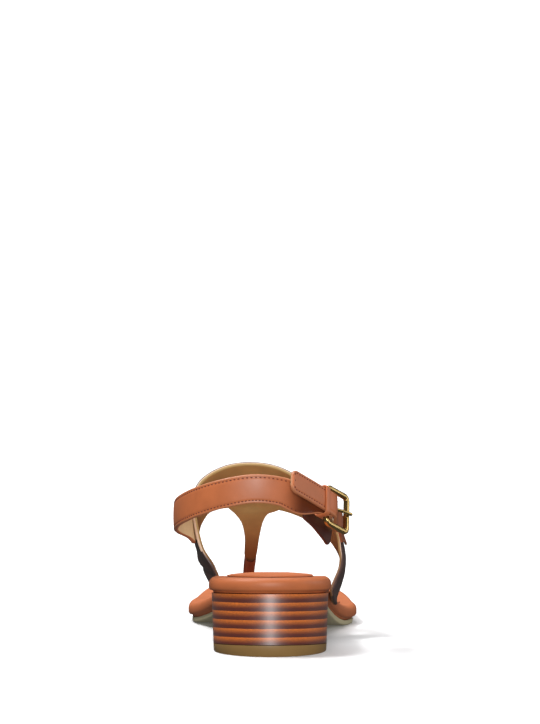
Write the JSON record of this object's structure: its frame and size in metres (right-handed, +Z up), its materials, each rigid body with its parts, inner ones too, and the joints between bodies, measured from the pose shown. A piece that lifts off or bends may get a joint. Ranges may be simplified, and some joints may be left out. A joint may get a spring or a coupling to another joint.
{
  "type": "t strap sandal",
  "caption": "Women's T-strap slingback thong sandal for the right foot, with a low block heel and a pin buckle.",
  "frame": {"origin": "on the floor, under the middle of the heel tip", "axes": "+Y towards the toe, +X towards the outer (lateral) side of this right shoe, +Z up"},
  "size_m": [0.0963, 0.2535, 0.0945],
  "materials": {
    "tan_leather": "smooth tan leather",
    "dark_coated_upper": "dark brown coated leather",
    "stacked_leather": "polished stacked leather in layers",
    "heel_tip_rubber": "olive brown rubber",
    "cream_outsole": "bare cream leather sole",
    "post_leather": "red-brown leather",
    "brass": "polished antique brass"
  },
  "bodies": {
    "root": {"outsole": "cream_outsole", "footbed": "tan_leather", "insole": "tan_leather", "heel_block": "stacked_leather", "top_lift": "heel_tip_rubber", "t_strap": "dark_coated_upper", "toe_post": "post_leather", "heel_strap": "tan_leather", "buckle_strap": "tan_leather", "keeper_loop": "tan_leather", "buckle_frame": "brass", "buckle_prong": "brass", "buckle_guard": "tan_leather"}
  },
  "joints": []
}
